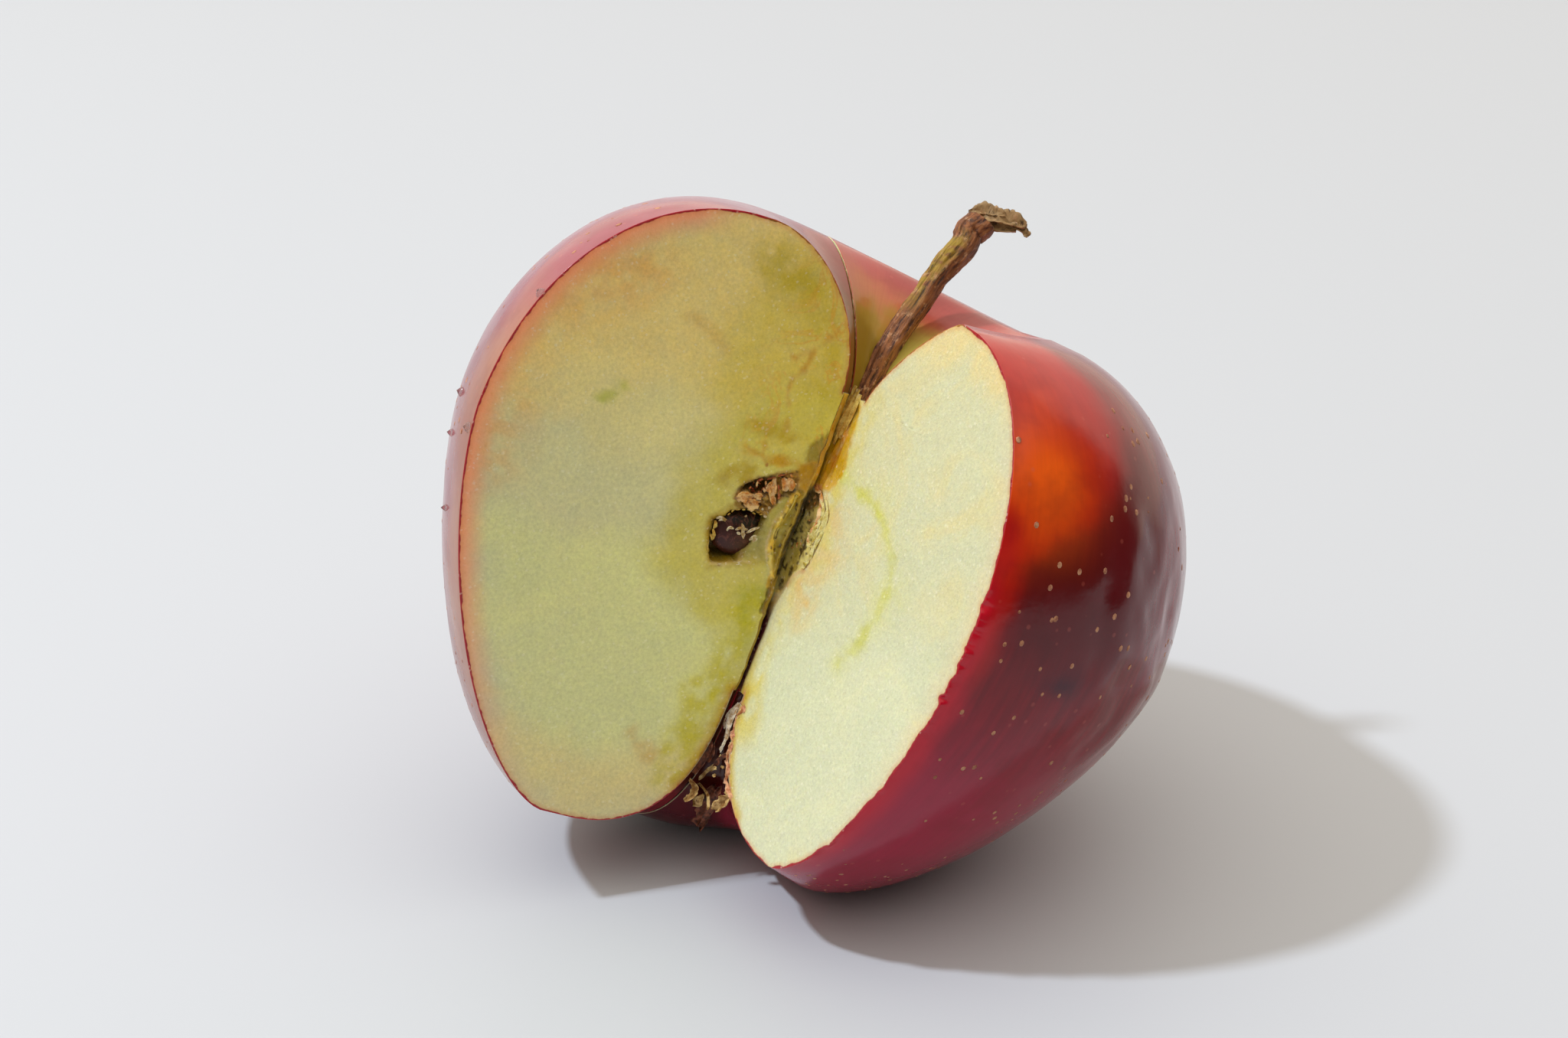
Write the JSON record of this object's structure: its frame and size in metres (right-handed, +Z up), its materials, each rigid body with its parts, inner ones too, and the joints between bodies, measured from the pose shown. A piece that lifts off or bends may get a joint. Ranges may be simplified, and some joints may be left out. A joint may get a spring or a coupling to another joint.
{
  "type": "cut apple",
  "caption": "Red apple with a wide wedge cut out of it: a half that keeps its stem, with a quarter set back against it, lying tilted on a table.",
  "frame": {"origin": "middle of the underside of the whole part's box, on the surface it lies on", "axes": "+Z up from the surface, +X to the right seen from the missing wedge, +Y away from the missing wedge"},
  "size_m": [0.0764, 0.0702, 0.0701],
  "materials": {
    "skin": "waxy red apple skin, semi-gloss",
    "flesh": "moist cream apple flesh, cut",
    "stem": "dry ridged bark",
    "seed": "smooth dark brown pip",
    "sepal": "dry papery leaf"
  },
  "bodies": {
    "root": {"apple_half": "skin", "apple_quarter": "skin", "stem": "stem", "seed": "seed", "stamens": "sepal", "sepal_long": "sepal", "sepal_pale": "sepal", "sepal_short": "sepal"}
  },
  "joints": []
}
